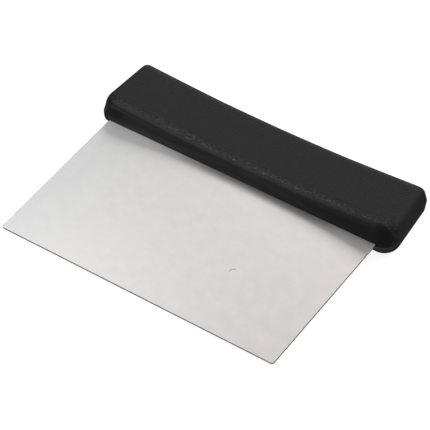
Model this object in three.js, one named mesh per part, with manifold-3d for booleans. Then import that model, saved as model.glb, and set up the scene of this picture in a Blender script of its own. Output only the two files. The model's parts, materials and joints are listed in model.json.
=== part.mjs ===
// Bench scraper: a stainless sheet blade held along one edge by a moulded handle.
//
// The handle is two mirrored half shells that meet in the plane of the blade. Pegs of the lower
// shell pass through holes in the hidden tang of the blade into sockets of the upper shell.
// Millimetres. The pieces are drawn in the blade's own frame: X along the handle, Y from the
// scraping edge back to the handle, Z off the blade, with Z = 0 in the middle of the sheet.
// The whole is then leant as it lies on a table, on the scraping edge and the handle's underside.

import * as THREE from "three";
import { mergeGeometries, mergeVertices } from "three/addons/utils/BufferGeometryUtils.js";
import Module from "manifold-3d";

// Blade
const bladeWidth = 152.4;
const bladeThickness = 1.0;
const bladeReach = 82.8; // from the scraping edge to the handle's mouth
const tangDepth = 22.0; // the part of the sheet that is hidden in the handle
const bladeCornerRadius = 1.3;
const tangCornerRadius = 3.0;

// Handle, each half measured from the blade's middle plane
const handleHalfLength = 84.4; // in the middle plane, at the mouth
const handleBack = 120.4; // Y of the handle's back, in the middle plane
const endHeight = 9.4; // half thickness at the ends
const waistHeight = 4.9; // half thickness at the middle
const endStation = 78.8; // X where the half thickness reaches endHeight
const dishPower = 1.5; // how the half thickness grows from the middle to the ends
const endTaper = 0.001; // the ends close in towards the back, per millimetre of Y
const draft = THREE.MathUtils.degToRad(7); // of the back and the ends
const backRounding = 5.0; // from the drafted back and ends to the top
const lipHeight = 0.6; // upright land of the mouth, above the middle plane
const coveRun = 5.7; // from the mouth back to where the top is flat
const coveRounding = 3.6; // from the cove to the top
const coveHollow = 0.35; // how far the cove dips below a straight slope
const frontCornerRadius = [9.2, 7.4]; // in plan, at the middle plane and at the top
const backCornerRadius = [1.8, 2.6];

// Fits
const fitGap = 0.3;
const seamHalf = fitGap / 2; // each shell stops this far from the middle plane
const slotEnd = 0.9; // the mouth is this much longer than the blade at each end

// Inside the shells
const wall = 2.4;
const pegRadius = 3.0;
const pegSpacing = 38.0;
const pegCount = 4;
const pegTop = 2.9;
const pegRoot = -2.0;
const pegFromMouth = 12.0;
const coreFrontRow = [8.5, 20.0]; // Y from the mouth
const coreBackRow = [24.5, 32.5];
const coreSideClear = 7.5; // from a peg's centre to the core beside it
const coreEndClear = 1.0; // from the blade's side to the outermost core
const ribThickness = 1.6; // of the rib halfway between two pegs
const coreCornerRadius = 1.5;

// How finely the shells are cut. Levels climb from the mating face to the top.
const stations = 26;
const endStations = 6;
const cornerSteps = 4;
const lipLevel = 0.14; // the lip ends and the cove begins
const coveLevel = 0.62; // the cove ends and its rounding begins
const draftLevel = 0.42; // the drafted back and ends give way to their rounding
const levels = [0, lipLevel, 0.28, draftLevel, coveLevel, 0.72, 0.81, 0.91, 1];

const wasm = await Module();
wasm.setup();

// ---- closed mesh to solid and back ----

function toSolid(geometry) {
  const bare = geometry.index ? geometry.toNonIndexed() : geometry.clone();
  for (const name of Object.keys(bare.attributes)) {
    if (name !== "position") bare.deleteAttribute(name);
  }
  const merged = mergeVertices(bare, 1e-4);
  return new wasm.Manifold(
    new wasm.Mesh({
      numProp: 3,
      vertProperties: new Float32Array(merged.attributes.position.array),
      triVerts: new Uint32Array(merged.index.array),
    }),
  );
}

function toGeometry(solid) {
  const mesh = solid.getMesh();
  const geometry = new THREE.BufferGeometry();
  geometry.setAttribute("position", new THREE.BufferAttribute(mesh.vertProperties, 3));
  geometry.setIndex(new THREE.BufferAttribute(mesh.triVerts, 1));
  return geometry;
}

// ---- small shapes ----

function roundedRectangle(x0, y0, x1, y1, radius) {
  const shape = new THREE.Shape();
  shape.absarc(x1 - radius, y0 + radius, radius, -Math.PI / 2, 0, false);
  shape.absarc(x1 - radius, y1 - radius, radius, 0, Math.PI / 2, false);
  shape.absarc(x0 + radius, y1 - radius, radius, Math.PI / 2, Math.PI, false);
  shape.absarc(x0 + radius, y0 + radius, radius, Math.PI, 1.5 * Math.PI, false);
  return shape;
}

function slab(shape, z0, z1) {
  const geometry = new THREE.ExtrudeGeometry(shape, {
    depth: z1 - z0,
    bevelEnabled: false,
    curveSegments: 5,
  });
  return geometry.translate(0, 0, z0);
}

function cylinder(x, y, radius, z0, z1) {
  const geometry = new THREE.CylinderGeometry(radius, radius, z1 - z0, 24);
  return geometry.rotateX(Math.PI / 2).translate(x, y, (z0 + z1) / 2);
}

const pegX = Array.from({ length: pegCount }, (_, i) => (i - (pegCount - 1) / 2) * pegSpacing);
const pegY = bladeReach + pegFromMouth;

// ---- blade ----

function bladeGeometry() {
  const half = bladeWidth / 2;
  const front = new THREE.Shape();
  front.moveTo(half, bladeReach);
  front.lineTo(-half, bladeReach);
  front.absarc(-half + bladeCornerRadius, bladeCornerRadius, bladeCornerRadius, Math.PI, 1.5 * Math.PI);
  front.absarc(half - bladeCornerRadius, bladeCornerRadius, bladeCornerRadius, -Math.PI / 2, 0);
  const tang = new THREE.Shape();
  const tangBack = bladeReach + tangDepth;
  tang.moveTo(-half, bladeReach);
  tang.lineTo(half, bladeReach);
  tang.absarc(half - tangCornerRadius, tangBack - tangCornerRadius, tangCornerRadius, 0, Math.PI / 2);
  tang.absarc(-half + tangCornerRadius, tangBack - tangCornerRadius, tangCornerRadius, Math.PI / 2, Math.PI);
  for (const x of pegX) {
    const hole = new THREE.Path();
    hole.absarc(x, pegY, pegRadius + fitGap, 0, 2 * Math.PI, true);
    tang.holes.push(hole);
  }
  // the two shapes share the mouth line, where the faces between them are left out
  const parts = [front, tang].map((shape) => slab(shape, -bladeThickness / 2, bladeThickness / 2));
  const position = mergeGeometries(parts).getAttribute("position");
  const kept = [];
  for (let i = 0; i < position.count; i += 3) {
    const corners = [0, 1, 2].map((j) => new THREE.Vector3().fromBufferAttribute(position, i + j));
    if (corners.every((p) => Math.abs(p.y - bladeReach) < 1e-4)) continue;
    for (const p of corners) kept.push(p.x, p.y, p.z);
  }
  const geometry = new THREE.BufferGeometry();
  geometry.setAttribute("position", new THREE.Float32BufferAttribute(kept, 3));
  return mergeVertices(geometry, 1e-4);
}

// ---- handle ----

// Half thickness along the handle: a shallow dish, thinnest at the middle.
function halfThickness(x) {
  const t = Math.min(1, Math.abs(x) / endStation);
  return waistHeight + (endHeight - waistHeight) * t ** dishPower;
}

// The back and the ends at a level, for a local half thickness: how far they have drawn in from
// the middle plane's outline, and their height. A drafted flat, then an arc to the top.
function sideProfile(level, height) {
  const radius = Math.min(backRounding, height * 0.8);
  if (level <= draftLevel) {
    const z = ((height - radius + radius * Math.sin(draft)) * level) / draftLevel;
    return [z * Math.tan(draft), z];
  }
  const angle = draft + ((Math.PI / 2 - draft) * (level - draftLevel)) / (1 - draftLevel);
  const centre = (height - radius) * Math.tan(draft) + radius / Math.cos(draft);
  return [centre - radius * Math.cos(angle), height - radius + radius * Math.sin(angle)];
}

// The front at a level: how far it has run back from the mouth, and its height. An upright lip,
// then a hollow slope that meets the arc of the top edge.
function frontProfile(level, height) {
  const radius = Math.min(coveRounding, (height - lipHeight) * 0.62);
  if (level <= lipLevel) return [0, (lipHeight * level) / lipLevel];
  const rise = height - radius - lipHeight;
  const toCentre = Math.hypot(coveRun, rise);
  const slope = Math.atan2(rise, coveRun) + Math.asin(radius / toCentre);
  if (level <= coveLevel) {
    const t = (level - lipLevel) / (coveLevel - lipLevel);
    const along = Math.sqrt(toCentre ** 2 - radius ** 2) * t;
    const dip = coveHollow * 4 * t * (1 - t);
    return [
      along * Math.cos(slope) + dip * Math.sin(slope),
      lipHeight + along * Math.sin(slope) - dip * Math.cos(slope),
    ];
  }
  const touching = slope + Math.PI / 2;
  const angle = touching + ((Math.PI / 2 - touching) * (level - coveLevel)) / (1 - coveLevel);
  return [coveRun + radius * Math.cos(angle), height - radius + radius * Math.sin(angle)];
}

const taperAt = (y) => 1 - endTaper * (y - bladeReach);
const between = (a, b, t) => a + (b - a) * t;
const steps = (n) => Array.from({ length: n + 1 }, (_, i) => i / n);

// The outline at a level, counterclockwise, in four chains that meet in the middle of the corners.
function outline(level) {
  const [inset, sideZ] = sideProfile(level, endHeight);
  const endX = handleHalfLength - inset;
  const frontRadius = between(...frontCornerRadius, level);
  const backRadius = between(...backCornerRadius, level);
  const frontY = bladeReach + frontProfile(level, halfThickness(endX - frontRadius))[0];
  const backY = handleBack - sideProfile(level, halfThickness(endX - backRadius))[0];

  const rightFront = steps(cornerSteps).map((t) => {
    const angle = (t * Math.PI) / 2;
    const x = endX - frontRadius + frontRadius * Math.sin(angle);
    const frontZ = frontProfile(level, halfThickness(x))[1];
    const turnedZ = sideProfile(level, halfThickness(x))[1];
    return [
      x,
      frontY + frontRadius - frontRadius * Math.cos(angle),
      between(frontZ, between(turnedZ, sideZ, t), t),
    ];
  });
  const rightBack = steps(cornerSteps).map((t) => {
    const angle = (t * Math.PI) / 2;
    const x = endX - backRadius + backRadius * Math.cos(angle);
    const turnedZ = sideProfile(level, halfThickness(x))[1];
    return [
      x,
      backY - backRadius + backRadius * Math.sin(angle),
      between(sideZ, turnedZ, t),
    ];
  });
  const mirror = (points) => points.map(([x, y, z]) => [-x, y, z]).reverse();
  const leftFront = mirror(rightFront);
  const leftBack = mirror(rightBack);

  const frontLine = steps(stations).map((t) => {
    const x = between(leftFront.at(-1)[0], rightFront[0][0], t);
    const [localRun, z] = frontProfile(level, halfThickness(x));
    return [x, bladeReach + localRun, z];
  });
  const backLine = steps(stations).map((t) => {
    const x = between(rightBack.at(-1)[0], leftBack[0][0], t);
    const [localInset, z] = sideProfile(level, halfThickness(x));
    return [x, handleBack - localInset, z];
  });
  const rightLine = steps(endStations).map((t) => [
    endX,
    between(frontY + frontRadius, backY - backRadius, t),
    sideZ,
  ]);

  const half = cornerSteps / 2;
  const chain = (before, line, after) => [
    ...before.slice(half, -1),
    before.at(-1),
    ...line.slice(1, -1),
    after[0],
    ...after.slice(1, half + 1),
  ];
  const place = ([x, y, z]) => [x * taperAt(y), y, Math.max(z, seamHalf)];
  return {
    front: chain(leftFront, frontLine, rightFront).map(place),
    right: chain(rightFront, rightLine, rightBack).map(place),
    back: chain(rightBack, backLine, leftBack).map(place),
    left: chain(leftBack, mirror(rightLine), leftFront).map(place),
  };
}

const ring = ({ front, right, back, left }) => [
  ...front.slice(0, -1),
  ...right.slice(0, -1),
  ...back.slice(0, -1),
  ...left.slice(0, -1),
];

// Fills a ring with a grid of quads blended between its four chains.
function fillGrid({ front, right, back, left }) {
  const across = front.length - 1;
  const along = right.length - 1;
  const backRow = [...back].reverse();
  const leftColumn = [...left].reverse();
  const rows = [];
  for (let j = 0; j <= along; j += 1) {
    const v = j / along;
    const row = [];
    for (let i = 0; i <= across; i += 1) {
      const u = i / across;
      row.push(
        [0, 1, 2].map(
          (k) =>
            (1 - v) * front[i][k] +
            v * backRow[i][k] +
            (1 - u) * leftColumn[j][k] +
            u * right[j][k] -
            ((1 - u) * (1 - v) * front[0][k] +
              u * (1 - v) * front[across][k] +
              (1 - u) * v * backRow[0][k] +
              u * v * backRow[across][k]),
        ),
      );
    }
    row[0] = leftColumn[j];
    row[across] = right[j];
    rows.push(row);
  }
  rows[0] = front;
  rows[along] = backRow;
  return rows;
}

// The outside of one half, closed by its flat mating face.
function handleBody(side) {
  const triangles = [];
  const quad = (a, b, c, d) => triangles.push(a, b, c, a, c, d);
  const outlines = levels.map(outline);
  for (let i = 0; i + 1 < levels.length; i += 1) {
    const low = ring(outlines[i]);
    const high = ring(outlines[i + 1]);
    for (let j = 0; j < low.length; j += 1) {
      const k = (j + 1) % low.length;
      quad(low[j], low[k], high[k], high[j]);
    }
  }
  const cap = (rows, facing) => {
    for (let j = 0; j + 1 < rows.length; j += 1) {
      for (let i = 0; i + 1 < rows[j].length; i += 1) {
        const corners = [rows[j][i], rows[j][i + 1], rows[j + 1][i + 1], rows[j + 1][i]];
        quad(...(facing > 0 ? corners : corners.reverse()));
      }
    }
  };
  const top = fillGrid(outlines.at(-1));
  for (const row of top.slice(1, -1)) {
    for (const p of row.slice(1, -1)) p[2] = halfThickness(p[0] / taperAt(p[1]));
  }
  cap(top, 1);
  cap(fillGrid(outlines[0]), -1);
  const ordered = side > 0 ? triangles : triangles.reverse();
  const geometry = new THREE.BufferGeometry();
  const flat = ordered.flatMap(([x, y, z]) => [x, y, side * z]);
  geometry.setAttribute("position", new THREE.Float32BufferAttribute(flat, 3));
  return toSolid(geometry);
}

// The pocket that takes half of the tang's thickness.
function tangPocket() {
  const half = bladeWidth / 2 + slotEnd;
  const depth = bladeThickness / 2 + fitGap;
  const shape = roundedRectangle(
    -half,
    bladeReach - 10,
    half,
    bladeReach + tangDepth + fitGap,
    tangCornerRadius,
  );
  return toSolid(slab(shape, -depth, depth));
}

// Hollows between the pegs that keep the moulding even in thickness.
function cores(side) {
  const ends = [-bladeWidth / 2 + coreEndClear, bladeWidth / 2 - coreEndClear];
  const spans = [
    [ends[0], pegX[0] - coreSideClear],
    [pegX.at(-1) + coreSideClear, ends[1]],
  ];
  for (const x of pegX.slice(1)) {
    const rib = x - pegSpacing / 2;
    spans.push([x - pegSpacing + coreSideClear, rib - ribThickness / 2]);
    spans.push([rib + ribThickness / 2, x - coreSideClear]);
  }
  const solids = [];
  for (const [x0, x1] of spans) {
    const nearest = Math.min(Math.abs(x0), Math.abs(x1));
    const roof = halfThickness(nearest) - wall;
    for (const [y0, y1] of [coreFrontRow, coreBackRow]) {
      const shape = roundedRectangle(x0, bladeReach + y0, x1, bladeReach + y1, coreCornerRadius);
      solids.push(toSolid(side > 0 ? slab(shape, 0, roof) : slab(shape, -roof, 0)));
    }
  }
  return solids;
}

function upperShell() {
  let solid = handleBody(1).subtract(tangPocket());
  for (const core of cores(1)) solid = solid.subtract(core);
  for (const x of pegX) {
    solid = solid.subtract(toSolid(cylinder(x, pegY, pegRadius + fitGap, 0, pegTop + fitGap)));
  }
  return toGeometry(solid);
}

function lowerShell() {
  let solid = handleBody(-1).subtract(tangPocket());
  for (const core of cores(-1)) solid = solid.subtract(core);
  for (const x of pegX) {
    solid = solid.add(toSolid(cylinder(x, pegY, pegRadius, pegRoot, pegTop)));
  }
  return toGeometry(solid);
}

// ---- assembly ----

const stainless = new THREE.MeshStandardMaterial({ color: 0xc9c8c6, roughness: 0.34, metalness: 1 });
const blackPlastic = new THREE.MeshStandardMaterial({ color: 0x1b1b1d, roughness: 0.5, metalness: 0 });

function piece(name, geometry, material) {
  const mesh = new THREE.Mesh(geometry, material);
  mesh.name = name;
  return mesh;
}

const scraper = new THREE.Group();
const lower = piece("handle_lower_shell", lowerShell(), blackPlastic);
scraper.add(piece("blade", bladeGeometry(), stainless));
scraper.add(piece("handle_upper_shell", upperShell(), blackPlastic));
scraper.add(lower);

// The lean at which the blade's lower scraping edge and the handle's underside are level.
function restingLean() {
  const position = lower.geometry.getAttribute("position");
  let lean = 0;
  for (let i = 0; i < position.count; i += 1) {
    lean = Math.max(lean, Math.atan2(-bladeThickness / 2 - position.getZ(i), position.getY(i)));
  }
  return lean;
}

scraper.rotation.x = restingLean();
const object = new THREE.Group();
object.add(scraper);
const box = new THREE.Box3().setFromObject(object, true);
scraper.position.set(0, -(box.min.y + box.max.y) / 2, -box.min.z);

export default object;
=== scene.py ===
"""Bench scraper: a satin stainless blade held along one edge by a black moulded handle."""

import json
import math

import bpy
import bmesh
from mathutils import Matrix, Vector


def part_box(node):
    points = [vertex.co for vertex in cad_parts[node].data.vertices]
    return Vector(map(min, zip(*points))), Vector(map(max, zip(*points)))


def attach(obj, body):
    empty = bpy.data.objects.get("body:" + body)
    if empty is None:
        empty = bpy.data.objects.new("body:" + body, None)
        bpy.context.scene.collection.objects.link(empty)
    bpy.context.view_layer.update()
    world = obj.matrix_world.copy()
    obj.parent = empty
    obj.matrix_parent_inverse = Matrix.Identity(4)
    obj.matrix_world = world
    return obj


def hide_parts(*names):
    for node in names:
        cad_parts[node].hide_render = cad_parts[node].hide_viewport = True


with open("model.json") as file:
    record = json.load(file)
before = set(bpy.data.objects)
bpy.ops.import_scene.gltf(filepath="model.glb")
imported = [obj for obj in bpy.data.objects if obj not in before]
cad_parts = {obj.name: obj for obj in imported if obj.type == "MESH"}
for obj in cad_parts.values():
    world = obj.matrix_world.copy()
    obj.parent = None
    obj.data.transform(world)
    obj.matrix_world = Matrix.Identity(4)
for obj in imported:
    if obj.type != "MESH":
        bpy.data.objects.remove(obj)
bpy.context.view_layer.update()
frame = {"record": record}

MM = 0.001

# ---- the scraper's own frame: X along the handle, Y from the scraping edge, Z off the blade ----

# sizes are in millimetres

THICK = 1.0  # of the sheet
HALF_THICK = THICK / 2 * MM
blade_lo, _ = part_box("blade")
edge_mount = next(m for m in frame["record"]["mounts"] if m["name"] == "scraping_edge")
LEAN = math.atan2(-edge_mount["axis"][2], -edge_mount["axis"][1])
SEAT = Matrix.Translation(
    (0, blade_lo.y + HALF_THICK * math.sin(LEAN), HALF_THICK * math.cos(LEAN))
)
PLACE = SEAT @ Matrix.Rotation(LEAN, 4, "X")

BLADE_HALF = 76.2  # half the blade's width
REACH = 82.8  # from the scraping edge to the handle's mouth
TANG = 22.0  # how far the sheet runs on inside the handle
BLADE_CORNER = 1.3
TANG_CORNER = 3.0
EDGE_EASE = 0.14  # how far the sheet's edges are broken

HALF_LENGTH = 84.4  # half the handle's length, in the blade's plane
BACK = 120.4  # from the scraping edge to the handle's back
END_HEIGHT = 9.4  # half the handle's thickness at its ends
WAIST_HEIGHT = 4.9  # and in the middle
END_STATION = 78.8  # where the dish between them stops, from the middle
DISH_POWER = 1.5
END_TAPER = 0.001  # the share of its length that the handle loses per millimetre toward its back
DRAFT = math.radians(7)
BACK_ROUNDING = 5.0
BACK_ROUNDING_SHARE = 0.8  # the most of the half thickness that this rounding takes
LIP = 0.6  # the upright step beside the blade
COVE_RUN = 5.7  # from the mouth back to the top of the concave front
COVE_ROUNDING = 3.6
COVE_ROUNDING_SHARE = 0.62  # the most of the height above the lip that this rounding takes
COVE_HOLLOW = 0.35  # how far the front dips below a straight slope
FRONT_CORNER = (9.2, 7.4)  # the corners' radii seen from above, at the seam and on top
BACK_CORNER = (1.8, 2.6)
SEAM_HALF = 0.012  # half the hairline between the handle's two halves
SLOT_END = 0.9  # how far the slot in the mouth runs past the blade
SLOT_GAP = 0.06  # and its play above and below the sheet
SLOT_CUT = (-4, 6)  # how far its cutter reaches from the mouth

# levels run from 0 at the seam to 1 on top: where the lip, the draft and the cove end
LIP_LEVEL, DRAFT_LEVEL, COVE_LEVEL = 0.14, 0.42, 0.62


def mix(a, b, t):
    return a + (b - a) * t


def taper(y):
    """The handle's length at Y, as a share of its length at the mouth."""
    return 1 - END_TAPER * (y - REACH)


def half_thickness(x):
    """The handle's dish: half its thickness at X."""
    return mix(WAIST_HEIGHT, END_HEIGHT, min(1, abs(x) / END_STATION) ** DISH_POWER)


def side_profile(level, height):
    """Inset from the middle plane's outline, and height, of the back and the ends."""
    radius = min(BACK_ROUNDING, height * BACK_ROUNDING_SHARE)
    if level <= DRAFT_LEVEL:
        z = (height - radius + radius * math.sin(DRAFT)) * level / DRAFT_LEVEL
        return z * math.tan(DRAFT), z
    angle = DRAFT + (math.pi / 2 - DRAFT) * (level - DRAFT_LEVEL) / (1 - DRAFT_LEVEL)
    centre = (height - radius) * math.tan(DRAFT) + radius / math.cos(DRAFT)
    return centre - radius * math.cos(angle), height - radius + radius * math.sin(angle)


def front_profile(level, height):
    """Run back from the mouth, and height, of the lip, the cove and its rounding."""
    radius = min(COVE_ROUNDING, (height - LIP) * COVE_ROUNDING_SHARE)
    if level <= LIP_LEVEL:
        return 0.0, LIP * level / LIP_LEVEL
    rise = height - radius - LIP
    reach = math.hypot(COVE_RUN, rise)
    slope = math.atan2(rise, COVE_RUN) + math.asin(radius / reach)
    if level <= COVE_LEVEL:
        t = (level - LIP_LEVEL) / (COVE_LEVEL - LIP_LEVEL)
        along = math.sqrt(reach**2 - radius**2) * t
        dip = COVE_HOLLOW * 4 * t * (1 - t)
        return (
            along * math.cos(slope) + dip * math.sin(slope),
            LIP + along * math.sin(slope) - dip * math.cos(slope),
        )
    touching = slope + math.pi / 2
    angle = mix(touching, math.pi / 2, (level - COVE_LEVEL) / (1 - COVE_LEVEL))
    return COVE_RUN + radius * math.cos(angle), height - radius + radius * math.sin(angle)


# steps along the front and back, along the ends, and around each corner
STATIONS, END_STATIONS, CORNER_STEPS = 150, 36, 16
SLOT_ARC = 12  # points around each end of the slot
LEVELS = (
    [LIP_LEVEL * i / 5 for i in range(5)]
    + [mix(LIP_LEVEL, DRAFT_LEVEL, i / 8) for i in range(8)]
    + [mix(DRAFT_LEVEL, COVE_LEVEL, i / 6) for i in range(6)]
    + [mix(COVE_LEVEL, 1, i / 12) for i in range(13)]
)


def outline(level):
    """Four chains of (x, y, z) around the handle, which meet halfway round its corners."""
    inset, side_z = side_profile(level, END_HEIGHT)
    end_x = HALF_LENGTH - inset
    front_r, back_r = mix(*FRONT_CORNER, level), mix(*BACK_CORNER, level)
    front_y = REACH + front_profile(level, half_thickness(end_x - front_r))[0]
    back_y = BACK - side_profile(level, half_thickness(end_x - back_r))[0]
    corner = [i / CORNER_STEPS for i in range(CORNER_STEPS + 1)]
    right_front = []
    for t in corner:
        a = t * math.pi / 2
        x = end_x - front_r + front_r * math.sin(a)
        y = front_y + front_r - front_r * math.cos(a)
        front_z = front_profile(level, half_thickness(x))[1]
        turned_z = side_profile(level, half_thickness(x))[1]
        right_front.append((x, y, mix(front_z, mix(turned_z, side_z, t), t)))
    right_back = []
    for t in corner:
        a = t * math.pi / 2
        x = end_x - back_r + back_r * math.cos(a)
        y = back_y - back_r + back_r * math.sin(a)
        turned_z = side_profile(level, half_thickness(x))[1]
        right_back.append((x, y, mix(side_z, turned_z, t)))

    def mirror(points):
        return [(-x, y, z) for x, y, z in reversed(points)]

    left_front, left_back = mirror(right_front), mirror(right_back)
    front = []
    for i in range(1, STATIONS):
        x = mix(left_front[-1][0], right_front[0][0], i / STATIONS)
        local_run, z = front_profile(level, half_thickness(x))
        front.append((x, REACH + local_run, z))
    back = []
    for i in range(1, STATIONS):
        x = mix(right_back[-1][0], left_back[0][0], i / STATIONS)
        local_inset, z = side_profile(level, half_thickness(x))
        back.append((x, BACK - local_inset, z))
    right = []
    for i in range(1, END_STATIONS):
        y = mix(front_y + front_r, back_y - back_r, i / END_STATIONS)
        right.append((end_x, y, side_z))
    halfway = CORNER_STEPS // 2

    def chain(before, line, after):
        points = before[halfway:] + line + after[: halfway + 1]
        return [(x * taper(y), y, max(z, SEAM_HALF)) for x, y, z in points]

    return [
        chain(left_front, front, right_front),
        chain(right_front, right, right_back),
        chain(right_back, back, left_back),
        chain(left_back, mirror(right), left_front),
    ]


def grid(chains):
    """A Coons patch of points between the four chains."""
    front, right, back, left = chains
    back, left = back[::-1], left[::-1]
    across, along = len(front) - 1, len(right) - 1
    rows = [front]
    for j in range(1, along):
        v = j / along
        row = [left[j]]
        for i in range(1, across):
            u = i / across
            row.append(
                tuple(
                    (1 - v) * front[i][k] + v * back[i][k] + (1 - u) * left[j][k] + u * right[j][k]
                    - ((1 - u) * (1 - v) * front[0][k] + u * (1 - v) * front[across][k]
                       + (1 - u) * v * back[0][k] + u * v * back[across][k])
                    for k in range(3)
                )
            )
        row.append(right[j])
        rows.append(row)
    rows.append(back)
    return rows


def shell_mesh(name, side):
    """The outside of the upper (side 1) or lower (-1) half of the handle, and its mating face."""
    bm = bmesh.new()
    made = {}

    def vert(p):
        # points within about 0.0001 mm of each other are one vertex
        key = (round(p[0], 4), round(p[1], 4), round(p[2], 4))
        if key not in made:
            made[key] = bm.verts.new((p[0] * MM, p[1] * MM, side * p[2] * MM))
        return made[key]

    def quad(*points):
        vs = []
        for p in points:
            v = vert(p)
            if v not in vs:
                vs.append(v)
        if len(vs) > 2:
            if side < 0:
                vs.reverse()
            bm.faces.new(vs)

    outlines = [outline(level) for level in LEVELS]
    rings = [[p for c in chains for p in c[:-1]] for chains in outlines]
    for low, high in zip(rings, rings[1:]):
        for j in range(len(low)):
            k = (j + 1) % len(low)
            quad(low[j], low[k], high[k], high[j])
    # between its edges the top follows the dish
    top = grid(outlines[-1])
    for j, row in enumerate(top):
        for i, p in enumerate(row):
            if 0 < j < len(top) - 1 and 0 < i < len(row) - 1:
                row[i] = (p[0], p[1], half_thickness(p[0] / taper(p[1])))
    bottom = grid(outlines[0])
    for rows, up in ((top, True), (bottom, False)):
        for a, b in zip(rows, rows[1:]):
            for i in range(len(a) - 1):
                corners = (a[i], a[i + 1], b[i + 1], b[i])
                quad(*(corners if up else corners[::-1]))
    mesh = bpy.data.meshes.new(name)
    bm.normal_update()
    bm.to_mesh(mesh)
    bm.free()
    mesh.transform(PLACE)
    return mesh


def link(name, data):
    obj = bpy.data.objects.new(name, data)
    bpy.context.scene.collection.objects.link(obj)
    return obj


def add(name, mesh, surface, slot, *nodes):
    """A visible piece of the scraper, in the place of these CAD nodes."""
    mesh.materials.append(surface)
    obj = link(name, mesh)
    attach(obj, "root")
    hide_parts(*nodes)
    return obj


def apply_modifiers(obj):
    dg = bpy.context.evaluated_depsgraph_get()
    mesh = bpy.data.meshes.new_from_object(
        obj.evaluated_get(dg), preserve_all_data_layers=True, depsgraph=dg
    )
    obj.modifiers.clear()
    obj.data = mesh


def smooth(obj, angle):
    """Smooth shading, except across edges sharper than this many degrees."""
    obj.data.polygons.foreach_set("use_smooth", [True] * len(obj.data.polygons))
    bm = bmesh.new()
    bm.from_mesh(obj.data)
    for e in bm.edges:
        e.smooth = len(e.link_faces) == 2 and e.calc_face_angle(0) < math.radians(angle)
    bm.to_mesh(obj.data)
    bm.free()


# ---- materials ----


def material(name):
    m = bpy.data.materials.new(name)
    m.use_nodes = True
    nt = m.node_tree
    nt.nodes.clear()
    out = nt.nodes.new("ShaderNodeOutputMaterial")
    bsdf = nt.nodes.new("ShaderNodeBsdfPrincipled")
    nt.links.new(bsdf.outputs["BSDF"], out.inputs["Surface"])
    return m, nt, bsdf


class Graph:
    """Short names for the nodes a material is built from."""

    def __init__(self, nt):
        self.nt = nt

    def node(self, kind, **props):
        n = self.nt.nodes.new(kind)
        for k, v in props.items():
            setattr(n, k, v)
        return n

    def link(self, a, b):
        self.nt.links.new(a, b)

    def put(self, socket, value):
        if isinstance(value, bpy.types.NodeSocket):
            self.link(value, socket)
        else:
            socket.default_value = value

    def math(self, op, a, b=0.0):
        n = self.node("ShaderNodeMath", operation=op)
        self.put(n.inputs[0], a)
        self.put(n.inputs[1], b)
        return n.outputs[0]

    def vector(self, op, a, b=(0, 0, 0)):
        n = self.node("ShaderNodeVectorMath", operation=op)
        self.put(n.inputs[0], a)
        self.put(n.inputs[1], b)
        return n

    def range(self, value, a, b, c, d, kind="SMOOTHSTEP"):
        """Maps the value's span a to b onto c to d."""
        n = self.node("ShaderNodeMapRange", interpolation_type=kind)
        for i, v in enumerate((value, a, b, c, d)):
            self.put(n.inputs[i], v)
        return n.outputs[0]

    def place(self):
        """Position in the scraper's own frame, in millimetres."""
        c = self.node("ShaderNodeTexCoord")
        m = self.node("ShaderNodeMapping", vector_type="TEXTURE")
        m.inputs["Location"].default_value = PLACE.translation
        m.inputs["Rotation"].default_value = (LEAN, 0, 0)
        m.inputs["Scale"].default_value = (MM, MM, MM)
        self.link(c.outputs["Object"], m.inputs["Vector"])
        return m.outputs["Vector"]

    def axis(self, vector, name):
        n = self.node("ShaderNodeSeparateXYZ")
        self.link(vector, n.inputs["Vector"])
        return n.outputs[name]

    def stretch(self, vector, scale):
        m = self.node("ShaderNodeMapping")
        m.inputs["Scale"].default_value = scale
        self.link(vector, m.inputs["Vector"])
        return m.outputs["Vector"]

    def noise(self, vector, scale, detail=2.0, rough=0.5):
        n = self.node("ShaderNodeTexNoise")
        self.link(vector, n.inputs["Vector"])
        n.inputs["Scale"].default_value = scale
        n.inputs["Detail"].default_value = detail
        n.inputs["Roughness"].default_value = rough
        return n.outputs["Fac"]

    def cells(self, vector, scale, feature="F1"):
        n = self.node("ShaderNodeTexVoronoi", feature=feature)
        self.link(vector, n.inputs["Vector"])
        n.inputs["Scale"].default_value = scale
        return n.outputs["Distance"]

    def blend(self, fac, a, b):
        n = self.node("ShaderNodeMix", data_type="RGBA")
        self.put(n.inputs[0], fac)
        self.put(n.inputs[6], a)
        self.put(n.inputs[7], b)
        return n.outputs[2]

    def multiply(self, a, b):
        n = self.node("ShaderNodeMix", data_type="RGBA", blend_type="MULTIPLY")
        n.inputs[0].default_value = 1.0
        self.link(a, n.inputs[6])
        self.link(b, n.inputs[7])
        return n.outputs[2]

    def bump(self, height, strength, distance, normal=None):
        n = self.node("ShaderNodeBump")
        self.link(height, n.inputs["Height"])
        self.put(n.inputs["Strength"], strength)
        n.inputs["Distance"].default_value = distance
        if normal is not None:
            self.link(normal, n.inputs["Normal"])
        return n.outputs["Normal"]


# the handle's texture and its painted glints, in millimetres
TEXTURE_START = 5.5  # from the mouth back to the ragged line where the pebbles begin
RAGGED = 2.0  # how far that line wanders
GLINT_DEPTH = (1.5, 5.5)  # behind the line, where the painted glints on the pebbles' crowns fade out
GLINT_HALF = (50, 66)  # from the middle, where they fade out toward the ends
CRISP_DEPTH = (1.5, 6.0)  # behind the line, where the relief grows shallow
PEBBLE_RELIEF = 0.58
FAINT_RELIEF = 0.15  # of the moulding's slow waves


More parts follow.
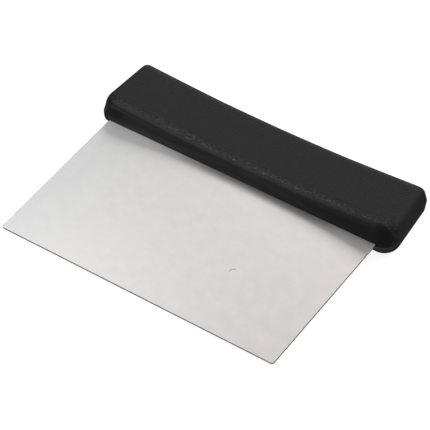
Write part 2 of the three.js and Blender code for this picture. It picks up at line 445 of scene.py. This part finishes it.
def plastic():
    m, nt, b = material("handle_plastic")
    g = Graph(nt)
    at = g.place()
    # the texture stops at a ragged line across the handle, on the front's rounding
    behind = g.math("SUBTRACT", g.axis(at, "Y"), REACH + TEXTURE_START)
    ragged = g.math("MULTIPLY", g.math("SUBTRACT", g.noise(at, 1.1, 2), 0.5), RAGGED)
    textured = g.range(g.math("ADD", behind, ragged), 0.0, 0.4, 0.0, 1.0)
    pebble = g.cells(at, 1.3, "SMOOTH_F1")
    fine = g.noise(at, 4.0, 3, 0.6)
    height = g.math("ADD", g.math("MULTIPLY", pebble, 0.8), g.math("MULTIPLY", fine, 0.5))
    patch = g.noise(at, 0.12, 3, 0.55)
    tone = g.math("ADD", g.math("MULTIPLY", patch, 0.35), g.math("MULTIPLY", fine, 0.3))
    dark, light = (0.0024, 0.0023, 0.0025, 1), (0.0052, 0.005, 0.0052, 1)
    smooth_colour = (0.0024, 0.0023, 0.0024, 1)
    textured_colour = g.blend(g.range(tone, 0.2, 0.5, 0, 1), dark, light)
    colour = g.blend(textured, smooth_colour, textured_colour)
    # painted highlight: the pebbles' crowns are lightened along the front edge, standing in for
    # glints where the light grazes them
    off_middle = g.math("ABSOLUTE", g.axis(at, "X"))
    glint_strip = g.math("MULTIPLY", textured, g.range(behind, *GLINT_DEPTH, 1, 0))
    glint_strip = g.math("MULTIPLY", glint_strip, g.range(off_middle, *GLINT_HALF, 1, 0))
    painted_glints = g.math("MULTIPLY", g.range(g.cells(at, 1.0), 0.1, 0.42, 1, 0), glint_strip)
    g.put(b.inputs["Base Color"], g.blend(painted_glints, colour, (0.075, 0.073, 0.079, 1)))
    pebbled = g.range(behind, 0, 4, 0.52, 0.68)
    rough = g.math("ADD", g.range(textured, 0, 1, 0.4, pebbled), g.math("MULTIPLY", patch, 0.06))
    g.put(b.inputs["Roughness"], rough)
    b.inputs["Specular IOR Level"].default_value = 0.45
    b.inputs["IOR"].default_value = 1.47
    b.inputs["Specular Tint"].default_value = (1.0, 0.965, 1.005, 1)
    faint = g.bump(g.noise(at, 0.35, 2), 0.15, FAINT_RELIEF * MM)
    crisp = g.range(behind, *CRISP_DEPTH, 1.0, 0.38)
    strength = g.math("MULTIPLY", textured, crisp)
    g.put(b.inputs["Normal"], g.bump(height, strength, PEBBLE_RELIEF * MM, faint))
    return m


# marks, painted light and painted shade on the sheet, in millimetres
LIGHT_DRIFT = (-61, 91)  # along X, where the painted shift from a shaded left to a lit right begins and ends
WANDER = 30  # how far that drift wanders with the mottling
MOUTH_SHADOW_DEPTH = (6.5, 0.5)  # from the mouth, where the painted shadow band begins and is full
MOUTH_SHADOW_LEFT, MOUTH_SHADOW_RIGHT = (-60, -2), (38, 70)  # along X, where it comes in and goes out
DARK_EDGE_SPAN = (EDGE_EASE, 0.04)  # in from the sides, where the darker edge tone begins and is full
SCRATCH_CENTRE = (31.1, 34.4)  # of the ring that the nick is a part of
SCRATCH_SIDE = (-0.77, 0.64)  # from there toward the nick
SCRATCH_RADIUS = 1.9
SCRATCH_FADE = (0.1, 0.35)  # off the ring, where the nick fades out
SCRATCH_CHORD = 0.45  # how far out on that side its ends lie, in radii
BRUSHED_RELIEF = 0.02


def steel():
    m, nt, b = material("satin_stainless")
    g = Graph(nt)
    at = g.place()
    lines = g.noise(g.stretch(at, (0.05, 3.2, 1)), 1.0, 4, 0.6)
    mottle = g.noise(at, 0.16, 4, 0.6)
    spots = g.noise(at, 1.4, 2, 0.5)
    tone = g.math("ADD", g.math("MULTIPLY", lines, 0.3), g.math("MULTIPLY", mottle, 0.5))
    tone = g.math("ADD", tone, g.math("MULTIPLY", spots, 0.2))
    dark, light = (0.75, 0.746, 0.74, 1), (0.82, 0.816, 0.81, 1)
    metal = g.blend(g.range(tone, 0.3, 0.7, 0, 1, "LINEAR"), dark, light)
    # painted light and shade: the sheet shifts from a cooler, darker left to a warmer, lighter
    # right, as the light falls across it
    cool, warm = (0.865, 0.872, 0.88, 1), (1.01, 0.97, 0.95, 1)
    across = g.math("ADD", g.axis(at, "X"), g.math("MULTIPLY", mottle, WANDER))
    painted_light_drift = g.blend(g.range(across, *LIGHT_DRIFT, 0, 1, "LINEAR"), cool, warm)
    metal = g.multiply(metal, painted_light_drift)
    # painted shadow: the sheet is darkened along the mouth, where the handle shades it, except
    # near its two ends
    start, end = (REACH - depth for depth in MOUTH_SHADOW_DEPTH)
    mouth = g.range(g.axis(at, "Y"), start, end, 0, 0.65)
    painted_shadow = g.math("MULTIPLY", mouth, g.range(g.axis(at, "X"), *MOUTH_SHADOW_LEFT, 0, 1))
    painted_shadow = g.math("MULTIPLY", painted_shadow, g.range(g.axis(at, "X"), *MOUTH_SHADOW_RIGHT, 1, 0))
    metal = g.blend(painted_shadow, metal, (0.05, 0.05, 0.05, 1))
    # the sheet is darker within a hair of its two side edges
    start, end = (BLADE_HALF - depth for depth in DARK_EDGE_SPAN)
    dark_side_edges = g.range(g.math("ABSOLUTE", g.axis(at, "X")), start, end, 0, 1)
    metal = g.blend(dark_side_edges, metal, (0.22, 0.22, 0.22, 1))
    g.put(b.inputs["Base Color"], g.blend(scratch(g, at), metal, (0.34, 0.34, 0.33, 1)))
    b.inputs["Metallic"].default_value = 1.0
    g.put(b.inputs["Roughness"], g.range(tone, 0.3, 0.7, 0.45, 0.51, "LINEAR"))
    g.put(b.inputs["Normal"], g.bump(lines, 0.08, BRUSHED_RELIEF * MM))
    return m


def scratch(g, at):
    """A short bowed nick on the upper face: 1 on a part of a thin ring, and 0 elsewhere."""
    flat = g.stretch(at, (1, 1, 0))
    offset = g.vector("SUBTRACT", flat, (*SCRATCH_CENTRE, 0)).outputs["Vector"]
    from_centre = g.vector("LENGTH", offset).outputs["Value"]
    along = g.vector("DOT_PRODUCT", offset, (*SCRATCH_SIDE, 0)).outputs["Value"]
    off_ring = g.math("ABSOLUTE", g.math("SUBTRACT", from_centre, SCRATCH_RADIUS))
    ring = g.range(off_ring, *SCRATCH_FADE, 1, 0)
    chord = SCRATCH_CHORD * SCRATCH_RADIUS
    arc = g.range(along, chord, chord + 0.5, 0, 1)
    upper_face = g.range(g.axis(at, "Z"), 0, 0.4, 0, 1)
    return g.math("MULTIPLY", g.math("MULTIPLY", ring, arc), upper_face)


handle_plastic, satin = plastic(), steel()

# ---- handle ----


def slot_cutter():
    """The space in the mouth for the blade, with round ends, in the scraper's own frame."""
    half, radius = BLADE_HALF + SLOT_END, THICK / 2 + SLOT_GAP
    bm = bmesh.new()
    ring = []
    for i in range(SLOT_ARC):
        a = math.pi * (i / (SLOT_ARC - 1) - 0.5)
        ring.append((half - radius + radius * math.cos(a), radius * math.sin(a)))
    ring += [(-x, -z) for x, z in ring]
    rows = []
    for y in (REACH + off for off in SLOT_CUT):
        rows.append([bm.verts.new(PLACE @ Vector((x * MM, y * MM, z * MM))) for x, z in ring])
    n = len(ring)
    for i in range(n):
        j = (i + 1) % n
        bm.faces.new((rows[0][i], rows[0][j], rows[1][j], rows[1][i]))
    bm.faces.new(rows[0][::-1])
    bm.faces.new(rows[1])
    bmesh.ops.recalc_face_normals(bm, faces=bm.faces)
    mesh = bpy.data.meshes.new("slot")
    bm.to_mesh(mesh)
    bm.free()
    return link("slot", mesh)


HANDLE_CREASE, BLADE_CREASE = 32, 50  # degrees: sharper edges stay sharp in the shading

cutter = slot_cutter()
for name, side, node in (
    ("handle_upper", 1, "handle_upper_shell"),
    ("handle_lower", -1, "handle_lower_shell"),
):
    shell = add(name, shell_mesh(name, side), handle_plastic, "handle", node)
    cut = shell.modifiers.new("slot", "BOOLEAN")
    cut.object, cut.operation, cut.solver = cutter, "DIFFERENCE", "EXACT"
    apply_modifiers(shell)
    smooth(shell, HANDLE_CREASE)
bpy.data.objects.remove(cutter)

# ---- blade ----

BROAD_FACE = 0.001  # square metres: only the sheet's two broad faces are larger


def blade_mesh():
    """The sheet with rounded corners and softly broken edges, running into the handle."""
    bm = bmesh.new()
    outline_pts = []
    back = REACH + TANG

    def arc(cx, cy, r, a0, a1, n=14):
        for i in range(n + 1):
            a = mix(a0, a1, i / n)
            outline_pts.append((cx + r * math.cos(a), cy + r * math.sin(a)))

    h, r, q = BLADE_HALF, BLADE_CORNER, TANG_CORNER
    arc(h - q, back - q, q, 0, math.pi / 2, 6)
    arc(-h + q, back - q, q, math.pi / 2, math.pi, 6)
    arc(-h + r, r, r, math.pi, 1.5 * math.pi)
    arc(h - r, r, r, 1.5 * math.pi, 2 * math.pi)
    n = len(outline_pts)
    rings = []
    eased = [
        (EDGE_EASE * (1 - math.sin(a)), -THICK / 2 + EDGE_EASE * (1 - math.cos(a)))
        for a in (0, math.pi / 6, math.pi / 3, math.pi / 2)
    ]
    for inset, z in eased + [(inset, -z) for inset, z in reversed(eased)]:
        ring = []
        for i, (x, y) in enumerate(outline_pts):
            x0, y0 = outline_pts[i - 1]
            x1, y1 = outline_pts[(i + 1) % n]
            out = Vector((y1 - y0, x0 - x1)).normalized()
            ring.append(
                bm.verts.new(((x - out.x * inset) * MM, (y - out.y * inset) * MM, z * MM))
            )
        rings.append(ring)
    for low, high in zip(rings, rings[1:]):
        for i in range(n):
            j = (i + 1) % n
            bm.faces.new((low[i], low[j], high[j], high[i]))
    bm.faces.new(rings[0][::-1])
    bm.faces.new(rings[-1])
    mesh = bpy.data.meshes.new("blade_sheet")
    bm.to_mesh(mesh)
    bm.free()
    mesh.transform(PLACE)
    return mesh


blade = add("blade_sheet", blade_mesh(), satin, "stainless", "blade")
smooth(blade, BLADE_CREASE)
for polygon in blade.data.polygons:
    polygon.use_smooth = polygon.area < BROAD_FACE

# ---- floor, light and camera ----

FLOOR_HALF = 40.0  # metres: wide enough to fill the view from any side

ground = bpy.data.meshes.new("floor")
bm = bmesh.new()
bmesh.ops.create_grid(bm, x_segments=1, y_segments=1, size=FLOOR_HALF)
bm.to_mesh(ground)
bm.free()
pale, _, surface = material("pale_floor")
surface.inputs["Base Color"].default_value = (0.2, 0.2, 0.2, 1)
surface.inputs["Roughness"].default_value = 0.9
surface.inputs["Specular IOR Level"].default_value = 0.1
surface.inputs["Emission Color"].default_value = (1, 1, 1, 1)
surface.inputs["Emission Strength"].default_value = 0.9
ground.materials.append(pale)
floor = link("floor", ground)
# the glowing floor is only a backdrop: the lamps and the world light the scraper
floor.visible_diffuse = floor.visible_glossy = floor.visible_shadow = False

world = bpy.data.worlds.new("studio")
bpy.context.scene.world = world
world.use_nodes = True
background = world.node_tree.nodes["Background"]
background.inputs["Color"].default_value = (1, 1, 1, 1)
background.inputs["Strength"].default_value = 0.22


def softbox(name, azimuth, elevation, half_angle, radiance, distance, colour=(1, 1, 1)):
    """A round lamp aimed at the scraper, in degrees and metres.

    Azimuth 0 is in front of the blade and 90 at the right. Seen from the scraper, the lamp is
    half_angle from its middle to its rim, so its radiance doesn't depend on the distance.
    """
    a, e = math.radians(azimuth), math.radians(elevation)
    toward = Vector((math.sin(a) * math.cos(e), -math.cos(a) * math.cos(e), math.sin(e)))
    lamp = bpy.data.lights.new(name, "AREA")
    lamp.shape = "DISK"
    lamp.color = colour
    lamp.size = 2 * distance * math.tan(math.radians(half_angle))
    lamp.energy = radiance * math.pi * math.pi * lamp.size**2 / 4
    obj = link(name, lamp)
    obj.location = toward * distance
    obj.rotation_mode = "QUATERNION"
    obj.rotation_quaternion = toward.to_track_quat("Z", "Y")
    obj.visible_camera = False


softbox("back", 204, 30, 10, 9.4, 1.6)
softbox("back_right", 132, 40, 16, 7.2, 1.6, (1, 0.96, 0.93))
softbox("near_low_left", 315, 14, 12, 2.3, 0.45)
softbox("near_left", 255, 54, 12, 1.9, 0.45)
softbox("near_top_left", 288, 56, 14, 1.5, 0.27)

bpy.context.scene.view_settings.view_transform = "Standard"
bpy.context.scene.view_settings.look = "None"

# the photo's camera was solved from the outline of the blade, taken to lean by SOLVED_LEAN
SOLVED_LEAN = math.radians(5.743)
az, el = math.radians(35.48), math.radians(42.18)  # the camera's azimuth and elevation
# its place from the middle of the scraping edge: away against its view, to its right, and up
CAMERA_AWAY, CAMERA_RIGHT, CAMERA_UP = 1013, 36.96, 34.99
SENSOR, FOCAL_LENGTH = 36, 188.707

settle = Matrix.Rotation(LEAN - SOLVED_LEAN, 3, "X")  # keeps the aim on the blade's plane
right = settle @ Vector((math.cos(az), math.sin(az), 0))
up = settle @ Vector((-math.sin(az) * math.sin(el), math.cos(az) * math.sin(el), math.cos(el)))
away = right.cross(up)
edge_middle = PLACE @ Vector((0, 0, HALF_THICK))
cam_data = bpy.data.cameras.new("camera")
cam = link("camera", cam_data)
cam.location = edge_middle + (CAMERA_AWAY * away + CAMERA_RIGHT * right + CAMERA_UP * up) * MM
cam.rotation_mode = "QUATERNION"
cam.rotation_quaternion = Matrix((right, up, away)).transposed().to_quaternion()
cam_data.sensor_width = SENSOR
cam_data.lens = FOCAL_LENGTH
cam_data.clip_start, cam_data.clip_end = 0.05, 20
bpy.context.scene.camera = cam
